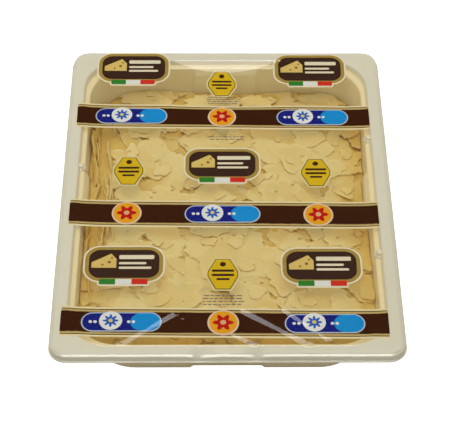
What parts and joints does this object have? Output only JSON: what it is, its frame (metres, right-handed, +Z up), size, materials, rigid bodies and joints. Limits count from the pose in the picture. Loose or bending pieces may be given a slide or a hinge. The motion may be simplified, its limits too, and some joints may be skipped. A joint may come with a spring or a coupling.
{
  "type": "pack of cheese flakes",
  "caption": "Shallow moulded tray with a wide rim, heaped with shaved hard cheese flakes under a clear lid film that is sealed over the rim.",
  "frame": {"origin": "middle of the base, on the surface that the pack rests on", "axes": "+Y along the pack's length, away from the side nearest the viewer; +X to the right; +Z up through the lid film"},
  "size_m": [0.265, 0.325, 0.0507],
  "materials": {
    "tray_plastic": "satin",
    "cheese": "satin",
    "clear_film": "gloss"
  },
  "bodies": {
    "root": {"tray": "tray_plastic", "cheese_flakes": "cheese", "lid_film": "clear_film"}
  },
  "joints": []
}
